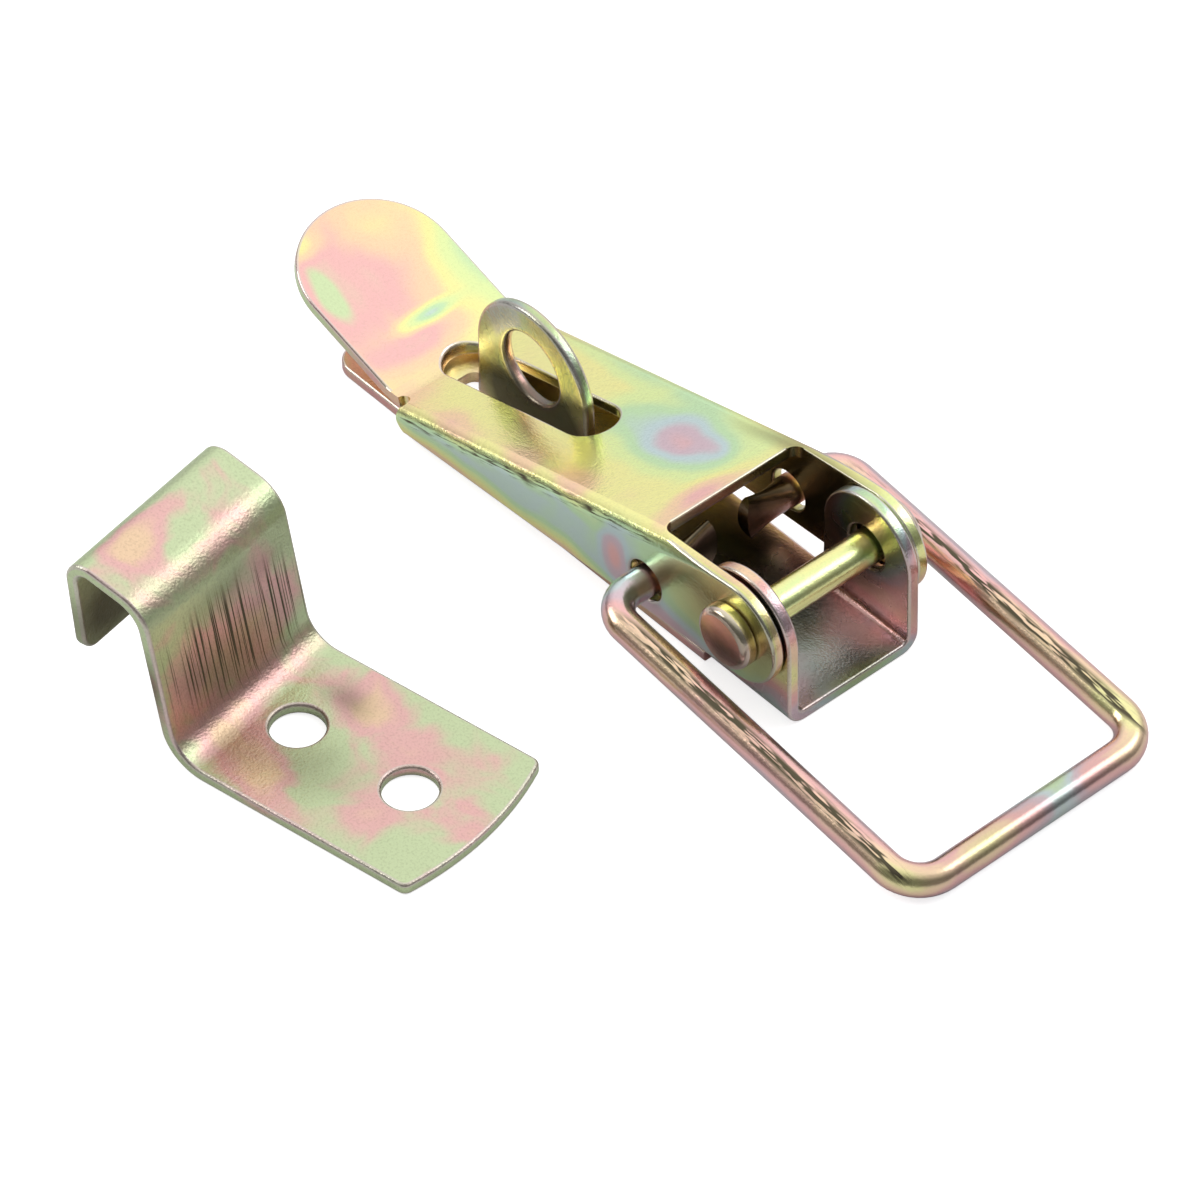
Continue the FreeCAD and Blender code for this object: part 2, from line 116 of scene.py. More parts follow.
class ZincLook(bpy.types.PropertyGroup):
    edge_round: FloatProperty(
        name="Edge Round",
        description="Radius that tumbling leaves on the cut edges of the sheet",
        default=0.34 * MM,
        unit="LENGTH",
    )
    steel: FloatVectorProperty(
        name="Bare Edge",
        description="Silvery colour of thin plating on worn edges",
        default=(0.72, 0.64, 0.60),
        subtype="COLOR",
    )
    straw: FloatVectorProperty(
        name="Straw",
        description="Bright yellow of the thin film",
        default=(0.90, 0.86, 0.36),
        subtype="COLOR",
    )
    frost: FloatVectorProperty(
        name="Frost",
        description="Pale blue green of the thinnest film",
        default=(0.62, 0.76, 0.70),
        subtype="COLOR",
    )
    willow: FloatVectorProperty(
        name="Willow",
        description="Pale yellow green of the thin film",
        default=(0.66, 0.84, 0.44),
        subtype="COLOR",
    )
    # Painted shade: this dark colour stands in for shade in hollows, inside folds and on faces
    # that mirror dark parts. The drawn streaks and pits use it too.
    painted_shade_and_marks: FloatVectorProperty(
        name="Shade",
        description="Dull brown olive where the bath stood longest, inside the folds",
        default=(0.115, 0.10, 0.065),
        subtype="COLOR",
    )
    peach: FloatVectorProperty(
        name="Peach",
        description="Orange yellow between straw and rose",
        default=(0.93, 0.66, 0.42),
        subtype="COLOR",
    )
    rose: FloatVectorProperty(
        name="Rose",
        description="Pink of the middle film",
        default=(0.86, 0.46, 0.44),
        subtype="COLOR",
    )
    lilac: FloatVectorProperty(
        name="Lilac",
        description="Grey violet after the rose",
        default=(0.66, 0.50, 0.56),
        subtype="COLOR",
    )
    mist: FloatVectorProperty(
        name="Mist",
        description="Grey blue before the green",
        default=(0.56, 0.69, 0.70),
        subtype="COLOR",
    )
    mint: FloatVectorProperty(
        name="Mint",
        description="Pale green of the thick film",
        default=(0.56, 0.78, 0.46),
        subtype="COLOR",
    )
    lime: FloatVectorProperty(
        name="Lime",
        description="Yellow green after the pale green",
        default=(0.76, 0.88, 0.40),
        subtype="COLOR",
    )
    blush: FloatVectorProperty(
        name="Blush",
        description="Pale pink of the thickest film but one",
        default=(0.88, 0.50, 0.475),
        subtype="COLOR",
    )
    celadon: FloatVectorProperty(
        name="Celadon",
        description="Pale grey green of the thickest film",
        default=(0.62, 0.75, 0.43),
        subtype="COLOR",
    )
    # Painted sheen: this direction is the camera's line of sight. The film is drawn thicker on
    # faces turned away from it, which fixes the film's colour change with viewing angle to this
    # one view.
    sheen_view: FloatVectorProperty(
        name="Anode",
        description="Direction that the faces with the thinnest film looked in the plating bath",
        default=(0.541, -0.455, 0.708),
        subtype="DIRECTION",
    )
    sheen_shift: FloatProperty(
        name="Turn Shift",
        description="How far the film thickens on a face that is turned square to that direction",
        default=0.22,
    )


class StudioLook(bpy.types.PropertyGroup):
    lens: FloatProperty(
        name="Lens",
        description="Focal length of the camera in millimetres",
        default=239.97,
    )
    distance: FloatProperty(
        name="Distance",
        description="From the camera to the point that it looks at",
        default=922.9 * MM,
        unit="LENGTH",
    )
    azimuth: FloatProperty(
        name="Azimuth",
        description="Angle of the camera round the latch",
        default=math.radians(49.91),
        subtype="ANGLE",
    )
    elevation: FloatProperty(
        name="Elevation",
        description="Angle of the camera above the floor",
        default=math.radians(45.04),
        subtype="ANGLE",
    )
    roll: FloatProperty(
        name="Roll",
        description="Tilt of the camera about its own line of sight",
        default=math.radians(-1.48),
        subtype="ANGLE",
    )
    aim: FloatVectorProperty(
        name="Aim",
        description="Point at the middle of the picture before it is shifted",
        default=(-20 * MM, 0, 8 * MM),
        subtype="TRANSLATION",
    )
    aim_right: FloatProperty(
        name="Aim Right",
        description="Shift of that point to the right",
        default=-11.21 * MM,
        unit="LENGTH",
    )
    aim_up: FloatProperty(
        name="Aim Up",
        description="Shift of that point upwards",
        default=-9.70 * MM,
        unit="LENGTH",
    )
    sky: FloatProperty(
        name="Sky",
        description="Strength of the soft light from all round",
        default=1.12,
    )
    softbox: FloatProperty(
        name="Softbox",
        description="Power of the large lamp to the left of the camera, in watts",
        default=2.6,
    )


def new_node(tree, kind, **settings):
    """Shader node of a kind with its properties set."""
    node = tree.nodes.new(kind)
    for name, value in settings.items():
        setattr(node, name, value)
    return node


def plug(tree, value, socket):
    """Link another node's output to a socket, or set a plain value on it."""
    if isinstance(value, bpy.types.NodeSocket):
        tree.links.new(value, socket)
    else:
        socket.default_value = value


def feed(tree, node, **inputs):
    """Set or link sockets by name, with underscores for blanks."""
    for name, value in inputs.items():
        plug(tree, value, node.inputs[name.replace("_", " ")])
    return node


def maths(tree, operation, first, second=0.0, clamp=False):
    """Output of a Math node."""
    node = new_node(tree, "ShaderNodeMath", operation=operation, use_clamp=clamp)
    for socket, value in zip(node.inputs, (first, second)):
        plug(tree, value, socket)
    return node.outputs[0]


def vector_maths(tree, operation, first, second):
    """Vector Math node with its first two sockets set or linked."""
    node = new_node(tree, "ShaderNodeVectorMath", operation=operation)
    plug(tree, first, node.inputs[0])
    plug(tree, second, node.inputs[1])
    return node


def blend(tree, amount, first, second):
    """Mix two colours by an amount."""
    mix = new_node(tree, "ShaderNodeMix", data_type="RGBA")
    plug(tree, amount, mix.inputs[MIX_AMOUNT])
    plug(tree, first, mix.inputs[MIX_FIRST])
    plug(tree, second, mix.inputs[MIX_SECOND])
    return mix.outputs[MIX_RESULT]


def new_group(name, inputs, outputs):
    """Shader node group with its named sockets, and its input and output nodes."""
    tree = bpy.data.node_groups.new(name, "ShaderNodeTree")
    for socket, kind in inputs:
        tree.interface.new_socket(socket, in_out="INPUT", socket_type=kind)
    for socket, kind in outputs:
        tree.interface.new_socket(socket, in_out="OUTPUT", socket_type=kind)
    return tree, tree.nodes.new("NodeGroupInput"), tree.nodes.new("NodeGroupOutput")


def place_group(tree, group, **inputs):
    """Put a node group into a material, with its sockets set or linked."""
    node = tree.nodes.new("ShaderNodeGroup")
    node.node_tree = group
    return feed(tree, node, **inputs)


def film_colour_stops(look):
    """Colours that the film runs through as it thickens, and where they stand."""
    return [
        (0.00, look.frost),
        (0.07, look.willow),
        (0.14, look.straw),
        (0.22, look.peach),
        (0.30, look.rose),
        (0.38, look.lilac),
        (0.46, look.mist),
        (0.55, look.mint),
        (0.64, look.lime),
        (0.73, look.straw),
        (0.82, look.peach),
        (0.91, look.blush),
        (1.00, look.celadon),
    ]


def warp_group():
    """Swirl the place that a film patch is looked up at, so that its outline wanders."""
    name = "film warp"
    if name in bpy.data.node_groups:
        return bpy.data.node_groups[name]
    tree, entry, leave = new_group(
        name,
        [
            ("Vector", "NodeSocketVector"),
            ("Scale", "NodeSocketFloat"),
            ("Reach", "NodeSocketFloat"),
        ],
        [("Vector", "NodeSocketVector")],
    )
    place = entry.outputs["Vector"]
    noise = new_node(tree, "ShaderNodeTexNoise")
    feed(tree, noise, Vector=place, Scale=entry.outputs["Scale"], Detail=2.0)
    middle = (NOISE_MIDDLE, NOISE_MIDDLE, NOISE_MIDDLE)
    centred = vector_maths(tree, "SUBTRACT", noise.outputs["Color"], middle)
    sized = new_node(tree, "ShaderNodeVectorMath", operation="SCALE")
    feed(tree, sized, Vector=centred.outputs[0], Scale=entry.outputs["Reach"])
    moved = vector_maths(tree, "ADD", place, sized.outputs[0])
    tree.links.new(moved.outputs[0], leave.inputs["Vector"])
    return tree


def streak_group():
    """Thin drawn scratches that run down one way: a mask out."""
    name = "drawn streaks"
    if name in bpy.data.node_groups:
        return bpy.data.node_groups[name]
    tree, entry, leave = new_group(
        name,
        [
            ("Vector", "NodeSocketVector"),
            ("Across", "NodeSocketVector"),
            ("Density", "NodeSocketFloat"),
            ("Along", "NodeSocketVector"),
            ("Length", "NodeSocketFloat"),
            ("Threshold", "NodeSocketFloat"),
        ],
        [("Mask", "NodeSocketFloat")],
    )
    reaches = []
    for direction, scale in (("Across", "Density"), ("Along", "Length")):
        reach = vector_maths(
            tree, "DOT_PRODUCT", entry.outputs["Vector"], entry.outputs[direction]
        )
        reaches.append(maths(tree, "MULTIPLY", reach.outputs["Value"], entry.outputs[scale]))
    flat = tree.nodes.new("ShaderNodeCombineXYZ")
    feed(tree, flat, X=reaches[0], Y=reaches[1])
    noise = new_node(tree, "ShaderNodeTexNoise", noise_dimensions="2D")
    feed(tree, noise, Vector=flat.outputs[0], Scale=1.0, Detail=2.0, Roughness=0.6)
    over = maths(tree, "SUBTRACT", noise.outputs["Fac"], entry.outputs["Threshold"])
    mask = maths(tree, "MULTIPLY", over, STREAK_SHARPNESS, clamp=True)
    tree.links.new(mask, leave.inputs["Mask"])
    return tree


def film_group(look):
    """Zinc film: thickness and swirls in, colour out."""
    name = "zinc film"
    if name in bpy.data.node_groups:
        return bpy.data.node_groups[name]
    tree, entry, leave = new_group(
        name,
        [
            ("Vector", "NodeSocketVector"),
            ("Thickness", "NodeSocketFloat"),
            ("Swirl Scale", "NodeSocketFloat"),
            ("Swirl", "NodeSocketFloat"),
            ("Bare", "NodeSocketFloat"),
        ],
        [("Color", "NodeSocketColor")],
    )
    swirl = new_node(tree, "ShaderNodeTexNoise")
    feed(tree, swirl, Vector=entry.outputs["Vector"], Scale=entry.outputs["Swirl Scale"])
    feed(tree, swirl, Detail=3.0, Roughness=0.5, Distortion=0.6)
    centred = maths(tree, "SUBTRACT", swirl.outputs["Fac"], NOISE_MIDDLE)
    spread = maths(tree, "MULTIPLY", centred, entry.outputs["Swirl"])
    film = maths(tree, "ADD", entry.outputs["Thickness"], spread)
    ramp = new_node(tree, "ShaderNodeValToRGB")
    ramp.color_ramp.interpolation = "EASE"
    stops = film_colour_stops(look)
    elements = ramp.color_ramp.elements
    while len(elements) < len(stops):
        elements.new(1.0)
    for element, (place, colour) in zip(elements, stops):
        element.position = place
        element.color = (*colour, 1.0)
    tree.links.new(film, ramp.inputs["Fac"])
    steel = (*look.steel, 1.0)
    colour = blend(tree, entry.outputs["Bare"], ramp.outputs["Color"], steel)
    tree.links.new(colour, leave.inputs["Color"])
    return tree


def patch_group():
    """Soft oval patch that adds to the film's thickness."""
    name = "film patch"
    if name in bpy.data.node_groups:
        return bpy.data.node_groups[name]
    tree, entry, leave = new_group(
        name,
        [
            ("Vector", "NodeSocketVector"),
            ("Thickness", "NodeSocketFloat"),
            ("Centre", "NodeSocketVector"),
            ("Size", "NodeSocketVector"),
            ("Amount", "NodeSocketFloat"),
        ],
        [("Thickness", "NodeSocketFloat")],
    )
    away = vector_maths(tree, "SUBTRACT", entry.outputs["Vector"], entry.outputs["Centre"])
    share = vector_maths(tree, "DIVIDE", away.outputs[0], entry.outputs["Size"])
    length = new_node(tree, "ShaderNodeVectorMath", operation="LENGTH")
    tree.links.new(share.outputs[0], length.inputs[0])
    fade = new_node(tree, "ShaderNodeMapRange", interpolation_type="SMOOTHSTEP")
    feed(tree, fade, Value=length.outputs["Value"])
    feed(tree, fade, From_Min=1.0, From_Max=0.0, To_Min=0.0, To_Max=1.0)
    added = maths(tree, "MULTIPLY", fade.outputs["Result"], entry.outputs["Amount"])
    thickness = maths(tree, "ADD", entry.outputs["Thickness"], added)
    tree.links.new(thickness, leave.inputs["Thickness"])
    return tree


def grain_group():
    """Fine grain of the plated surface: normal, roughness and dark flecks out."""
    name = "plating grain"
    if name in bpy.data.node_groups:
        return bpy.data.node_groups[name]
    tree, entry, leave = new_group(
        name,
        [
            ("Vector", "NodeSocketVector"),
            ("Strength", "NodeSocketFloat"),
            ("Roughness", "NodeSocketFloat"),
        ],
        [
            ("Normal", "NodeSocketVector"),
            ("Roughness", "NodeSocketFloat"),
            ("Fleck", "NodeSocketFloat"),
        ],
    )
    place = entry.outputs["Vector"]
    strength = entry.outputs["Strength"]
    fine = new_node(tree, "ShaderNodeTexNoise")
    feed(tree, fine, Vector=place, Scale=FINE_GRAIN, Detail=2.0)
    coarse = new_node(tree, "ShaderNodeTexNoise")
    feed(tree, coarse, Vector=place, Scale=COARSE_GRAIN, Detail=2.0)
    height = maths(tree, "ADD", fine.outputs["Fac"], coarse.outputs["Fac"])
    bump = new_node(tree, "ShaderNodeBump")
    feed(tree, bump, Height=height, Strength=strength, Distance=GRAIN_DEPTH)
    tree.links.new(bump.outputs["Normal"], leave.inputs["Normal"])
    cloud = new_node(tree, "ShaderNodeTexNoise")
    feed(tree, cloud, Vector=place, Scale=CLOUD_SCALE, Detail=3.0)
    centred = maths(tree, "SUBTRACT", cloud.outputs["Fac"], NOISE_MIDDLE)
    change = maths(tree, "MULTIPLY", centred, CLOUD_REACH)
    roughness = maths(tree, "ADD", entry.outputs["Roughness"], change)
    tree.links.new(roughness, leave.inputs["Roughness"])
    depth = maths(tree, "SUBTRACT", PIT_LEVEL, fine.outputs["Fac"])
    pits = maths(tree, "MULTIPLY", depth, PIT_SHARPNESS, clamp=True)
    tree.links.new(maths(tree, "MULTIPLY", pits, strength), leave.inputs["Fleck"])
    return tree


def add_patches(tree, place, value, patches):
    """Add soft oval patches (centre, size, amount), in millimetres, to a value."""
    for centre, size, amount in patches:
        patch = place_group(
            tree,
            patch_group(),
            Vector=place,
            Thickness=value,
            Centre=Vector(centre) * MM,
            Size=Vector(size) * MM,
            Amount=amount,
        )
        value = patch.outputs["Thickness"]
    return value


def zinc_material(
    name, look, film, swirl, satin, veil, patches=(), painted_shades=(), streaks=None, bands=()
):
    """Metal under the zinc film.

    film is the thickness and its change over the piece, swirl the scale and reach of
    its wandering, satin the roughness and the strength of the grain, and veil the share
    of grey steel that shows through. patches and bands change the thickness, and shades
    darken the colour as painted shading, in hollows and where dark surroundings are mirrored.
    patches and shades wander with the swirl, and bands keep their place. streaks holds
    the pattern of the drawn scratches and the spots where they show.
    """
    material = bpy.data.materials.new(name)
    material.use_nodes = True
    tree = material.node_tree
    tree.nodes.clear()
    spot = tree.nodes.new("ShaderNodeTexCoord")
    place = spot.outputs["Object"]
    warp = place_group(tree, warp_group(), Vector=place, Scale=swirl[0], Reach=swirl[1] * MM)
    warped = warp.outputs["Vector"]
    # Painted sheen: the film colour shifts with how far a face turns from the camera's line of
    # sight
    sheen_view = Vector(look.sheen_view).normalized()
    towards = vector_maths(tree, "DOT_PRODUCT", spot.outputs["Normal"], sheen_view)
    sheen_turn = maths(tree, "SUBTRACT", 1.0, maths(tree, "ABSOLUTE", towards.outputs["Value"]))
    thickness = maths(tree, "ADD", maths(tree, "MULTIPLY", sheen_turn, look.sheen_shift), film[0])
    thickness = add_patches(tree, warped, thickness, patches)
    thickness = add_patches(tree, place, thickness, bands)
    edge = new_node(tree, "ShaderNodeAttribute", attribute_name="edge_wear")
    worn = maths(tree, "MULTIPLY", edge.outputs["Fac"], WORN_SHARE - veil)
    bare = maths(tree, "ADD", worn, veil)
    coat = place_group(
        tree,
        film_group(look),
        Vector=warped,
        Thickness=thickness,
        Swirl_Scale=swirl[0],
        Swirl=film[1],
        Bare=bare,
    )
    colour = coat.outputs["Color"]
    # Painted shade: the shade patches blend this dark colour in where shade falls and where dark
    # surroundings are mirrored. Streaks and pits below use the same colour.
    painted_shade_and_marks = (*look.painted_shade_and_marks, 1.0)
    if painted_shades:
        painted_shade_amount = add_patches(tree, warped, 0.0, painted_shades)
        colour = blend(tree, maths(tree, "MINIMUM", painted_shade_amount, SHADE_SHARE), colour, painted_shade_and_marks)
    roughness = satin[0]
    if streaks:
        lines = place_group(tree, streak_group(), Vector=place, **streaks["pattern"])
        reach = add_patches(tree, place, 0.0, streaks["where"])
        mask = maths(tree, "MULTIPLY", lines.outputs["Mask"], reach, clamp=True)
        colour = blend(tree, mask, colour, painted_shade_and_marks)
        torn = maths(tree, "MULTIPLY", mask, STREAK_ROUGHNESS)
        roughness = maths(tree, "ADD", torn, roughness)
    texture = place_group(
        tree, grain_group(), Vector=place, Strength=satin[1], Roughness=roughness
    )
    flecks = maths(tree, "MULTIPLY", texture.outputs["Fleck"], FLECK_SHARE)
    colour = blend(tree, flecks, colour, painted_shade_and_marks)
    surface = tree.nodes.new("ShaderNodeBsdfPrincipled")
    feed(tree, surface, Base_Color=colour, Metallic=1.0)
    feed(tree, surface, Roughness=texture.outputs["Roughness"], Normal=texture.outputs["Normal"])
    output = tree.nodes.new("ShaderNodeOutputMaterial")
    tree.links.new(surface.outputs[0], output.inputs["Surface"])
    return material


def anywhere(edge):
    """Pick every cut edge of a piece."""
    return True


def near(edge, spots):
    """Tell if an edge's middle is within reach of one of some spots, in millimetres."""
    middle = (edge.verts[0].co + edge.verts[1].co) / 2
    return any((middle - Vector(centre) * MM).length < reach * MM for centre, reach in spots)


def dressed_copy(node, name, rounds, weld, tight):
    """Copy of a CAD node with welded faces and rounded cut edges, marked for wear.

    rounds lists a radius and a test that picks the edges it is for, weld is the length in
    millimetres below which facets are closed up, and tight lists the corners that are too
    small to be rounded.
    """
    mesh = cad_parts[node].data.copy()
    mesh.name = name
    mesh.materials.clear()
    bm = bmesh.new()
    bm.from_mesh(mesh)
    bmesh.ops.remove_doubles(bm, verts=bm.verts, dist=weld * MM)
    bmesh.ops.dissolve_limit(
        bm, angle_limit=SAME_PLANE, verts=bm.verts, edges=bm.edges, use_dissolve_boundaries=False
    )
    wear = bm.faces.layers.float.new("edge_wear")
    for radius, wanted in rounds:
        cut = [edge for edge in bm.edges if edge.is_manifold and edge.calc_face_angle() > SHARP]
        sharp = [edge for edge in cut if wanted(edge) and not near(edge, tight)]
        rounded = bmesh.ops.bevel(
            bm,
            geom=sharp,
            offset=radius,
            offset_type="OFFSET",
            affect="EDGES",
            segments=ROUND_SEGMENTS,
            profile=0.5,
            clamp_overlap=False,
            loop_slide=False,
            material=-1,
        )
        for face in rounded["faces"]:
            face[wear] = 1.0
    for face in bm.faces:
        face.smooth = True
    for edge in bm.edges:
        edge.smooth = edge.is_manifold and edge.calc_face_angle() < SHARP
    bm.to_mesh(mesh)
    bm.free()
    piece = bpy.data.objects.new(name, mesh)
    bpy.context.scene.collection.objects.link(piece)
    weighted = piece.modifiers.new("weighted normals", "WEIGHTED_NORMAL")
    weighted.keep_sharp = True
    return piece


def dress(node, body, material, rounds, weld=FINE_WELD, tight=()):
    """Stand a finished copy in for a CAD node."""
    piece = dressed_copy(node, node + "_zinc", rounds, weld, tight)
    piece.data.materials.append(material)
    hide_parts(node)
    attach(piece, body)


def on_padlock_eye(edge):
    """Tell the cut edges of the upright padlock eye from the rest of the base plate."""
    lowest = min(vert.co.z for vert in edge.verts)
    furthest = max(abs(vert.co.y) for vert in edge.verts)
    return lowest > EYE_FOOT and furthest < EYE_SIDE


def off_padlock_eye(edge):
    """Tell the cut edges of the strip and its ears from those of the padlock eye."""
    return not on_padlock_eye(edge)


class LATCH_OT_base_plate(bpy.types.Operator):
    """Base plate with its ears and padlock eye"""

    bl_idname = "latch.base_plate"
    bl_label = "Base Plate"

    def execute(self, context):
        look = context.scene.zinc_look
        patches = [
            # Strip between the ears, and its front end
            ((0, 0, 1), (40, 15, 5), 0.26),
            ((8, 3, 1), (5, 14, 3), 0.20),
            # Near ear, and the inside of the far one
            ((3, -9, 16), (8, 4, 5), 0.30),
            ((5, -10, 3), (6, 4, 5), 0.16),
            ((6, -10, 9), (5, 4, 4), -0.12),
            ((1, 8.4, 15), (10, 4, 9), 0.60),
            # Padlock eye, and straw again at its upper rear
            ((-48, -1, 12), (30, 7, 30), -0.15),
            ((-53, -1, 17), (7, 5, 7), -0.16),
            # Foot of the near ear, and the strip's rear end
            ((4, -10, 5), (9, 3, 8), -0.06),
            ((-72, 0, 1), (10, 14, 4), 0.16),
        ]
        painted_shades = [
            # Painted shade under the lever, along the strip's middle and inside the far ear
            ((-14, 0, 4), (17, 11, 13), 1.9),
            ((2, 0, 1), (16, 14, 3.4), 0.62),
            ((-1, 8, 9), (13, 3.2, 12), 0.8),
            # Painted shade on the root and near face of the padlock eye, which mirrors the dark
            # inside of the lever, but not on the wall of its hole
            ((-48, 0, 5), (14, 6, 9), 0.8),
            ((-48, -1, 12), (15, 3.5, 14), 0.9),
            ((-46, -1, 4), (13, 5, 7), 1.4),
            ((-48, 0, 11.8), (7.4, 5, 7.4), -2.2),
            # Painted shade on the near ear
            ((0, -9.5, 10), (12, 3, 14), 0.35),
        ]
        # Rosy wall of the padlock eye's hole
        bands = [((-48, 0, 11.8), (6.5, 3, 6.5), 1.7)]
        material = zinc_material(
            "base zinc",
            look,
            film=(0.14, 0.24),
            swirl=(75.0, 5),
            satin=(0.26, 0.8),
            veil=0.1,
            patches=patches,
            painted_shades=painted_shades,
            bands=bands,
        )
        rounds = [(EYE_ROUND, on_padlock_eye), (look.edge_round, off_padlock_eye)]
        tight = [
            # Relief notches at the padlock eye's root
            ((-38.2, 0, 0.8), 3.4),
            ((-57.8, 0, 0.8), 3.4),
            # Rear corners where the ears are folded up
            ((-7.3, 9.2, 0.8), 2.6),
            ((-7.3, -9.2, 0.8), 2.6),
        ]
        dress("base_plate", "base", material, rounds, EAR_WELD, tight)
        return {"FINISHED"}


class LATCH_OT_lever(bpy.types.Operator):
    """Slotted lever with its thumb tab"""

    bl_idname = "latch.lever"
    bl_label = "Lever"

    def execute(self, context):
        look = context.scene.zinc_look
        patches = [
            # Thumb tab, and the blue and straw spot where it bends up
            ((-76, -5, 8), (24, 19, 14), 0.27),
            ((-83, 5, 9), (11, 11, 9), 0.11),
            ((-81.5, 2.5, 9), (7, 7, 6), -0.14),
            ((-83.5, -6.5, 10), (3.4, 5, 6), -0.15),
            ((-76.5, -7.5, 8), (6.5, 2.0, 6), 0.12),
            ((-73, 11, 6), (13, 8, 8), -0.14),
            ((-68.7, 1, 5.5), (2.0, 7, 3), -0.34),
            ((-66, -2, 4.5), (3.5, 13, 4), 0.11),
            # Top plate: pale green and blue ahead of the slot, rose at their middle
            ((-38, 2, 11), (9, 9, 6), -0.16),
            ((-27, 4, 14), (19, 13, 9), -0.25),
            ((-25, 2, 14), (11, 7, 7), -0.15),
            ((-21, 5, 15), (4, 3, 4), -0.06),
            ((-15, -3, 17), (4, 12, 4), 0.16),
            ((-42, 11, 9), (34, 4, 9), -0.16),
            # Near flange along its lower edge, then along its fold
            ((-57, -12, 0.6), (14, 6, 2.6), 0.30),
            ((-42, -12, 1.2), (17, 6, 3.4), 0.34),
            ((-27, -12, 2.0), (14, 6, 3.8), 0.34),
            ((-52, -12, 6.6), (12, 6, 2.4), 0.14),
            ((-41, -12, 9.6), (12, 6, 2.6), 0.15),
            ((-30, -12, 12.6), (12, 6, 2.8), 0.15),
            # Rose beside the wire's hole, and the near ear
            ((-21, -12, 9), (3.4, 6, 6), -0.18),
            ((-10, -12, 4), (13, 6, 5), -0.17),
            ((-2, -12, 13), (18, 6, 10), 0.26),
        ]
        # The near flange is thinner plated than the top plate
        bands = [((-40, -12.4, 8), (200, 1.5, 60), -0.39)]
        painted_shades = [
            # Painted shade on the near ear, inside the far one, and round the wire's near hole
            ((0, -13, 13), (17, 4, 13), 1.0),
            ((-10, 9.8, 11), (17, 2.6, 14), 1.2),
            ((-15.3, -11, 8.4), (5, 1.6, 5), 1.6),
        ]
        # Short overlapping spots that follow the near fold up its slope, where the streaks draw a
        # dark line under the fold: partly crinkle marks, partly a painted dark reflection
        fold_start, fold_height, fold_rise = -60, 3.1, 0.277
        bend = [
            ((x, -11.8, fold_height + fold_rise * (x - fold_start)), (3.5, 1.5, 0.9), 1.1)
            for x in range(-58, -14, 3)
        ]
        streaks = {
            "pattern": {
                "Across": (-0.267, 0.0, 0.964),
                "Density": 3600.0,
                "Along": (0.964, 0.0, 0.267),
                "Length": 200.0,
                "Threshold": 0.50,
            },
            "where": bend,
        }
        material = zinc_material(
            "lever zinc",
            look,
            film=(0.64, 0.20),
            swirl=(70.0, 4),
            satin=(0.22, 0.5),
            veil=0.04,
            patches=patches,
            painted_shades=painted_shades,
            streaks=streaks,
            bands=bands,
        )
        tight = [
            # Reliefs at the flanges' rear ends, then where the top plate ends
            ((-59.5, 10.8, 3.6), 3.0),
            ((-59.5, -10.8, 3.6), 3.0),
            ((-13.6, 10.6, 16.6), 2.2),
            ((-13.6, -10.6, 16.6), 2.2),
        ]
        rounds = [(look.edge_round, anywhere)]
        dress("lever", "lever", material, rounds, tight=tight)
        return {"FINISHED"}


class LATCH_OT_pivot_pin(bpy.types.Operator):
    """Riveted pivot pin"""

    bl_idname = "latch.pivot_pin"
    bl_label = "Pivot Pin"

    def execute(self, context):
        look = context.scene.zinc_look
        patches = [
            # Near head, then far head
            ((0, -13.7, 11.6), (12, 4, 12), 0.15),
            ((0, 14.5, 11.6), (6, 4, 6), 0.30),
        ]
        painted_shades = [
            # Painted dark reflection on the near head, then painted shade on the shank's lower
            # side
            ((0, -14.6, 11.6), (10, 3.4, 10), 0.95),
            ((0, 0, 9.5), (9, 12, 2.6), 0.4),
        ]
        material = zinc_material(
            "pin zinc",
            look,
            film=(0.64, 0.16),
            swirl=(90.0, 6),
            satin=(0.24, 0.4),
            veil=0.06,
            patches=patches,
            painted_shades=painted_shades,
        )
        dress("pivot_pin", "lever", material, [(look.edge_round, anywhere)])
        return {"FINISHED"}


class LATCH_OT_wire_bail(bpy.types.Operator):
    """Bent wire bail with hammered ends"""

    bl_idname = "latch.wire_bail"
    bl_label = "Wire Bail"

    def execute(self, context):
        look = context.scene.zinc_look
        patches = [
            # Near elbow, front bar and far arm
            ((-15, -16, 9), (5, 8, 6), 0.16),
            ((38, 4, 3), (7, 10, 6), 0.06),
            ((10, 19, 6), (12, 6, 6), 0.06),
            # Front bends, and pale and green spots on the front bar
            ((35, -18, 3), (8, 6, 6), -0.10),
            ((30, 18, 4), (10, 6, 6), -0.12),
            ((38, -7, 3), (6, 6, 6), -0.10),
            ((38, 4, 4), (6, 5, 6), 0.20),
        ]
        painted_shades = [
            # Painted shade on the hammered ends inside the lever, then on the front bar, dimming
            # its highlight
            ((-15, 0, 9), (8, 13, 8), 1.6),
            ((38, 0, 3), (6, 30, 6), 0.26),
        ]
        # Spots along both arms, which droop from the lever to the ground
        near_line, far_line = -18.6, 17.4
        arm_start, arm_height, arm_droop = -15, 10.2, 0.123
        arms = [
            ((x, y, arm_height - arm_droop * (x - arm_start)), (7, 1.2, 1.8), 1.3)
            for x in range(-8, 36, 6)
            for y in (near_line, far_line)
        ]
        streaks = {
            "pattern": {
                "Across": (0.06, 0.86, 0.5),
                "Density": 2000.0,
                "Along": (0.993, 0.0, -0.122),
                "Length": 160.0,
                "Threshold": 0.44,
            },
            "where": arms,
        }
        material = zinc_material(
            "wire zinc",
            look,
            film=(0.20, 0.30),
            swirl=(80.0, 8),
            satin=(0.24, 0.35),
            veil=0.2,
            patches=patches,
            painted_shades=painted_shades,
            streaks=streaks,
        )
        dress("wire_bail", "bail", material, [])
        return {"FINISHED"}


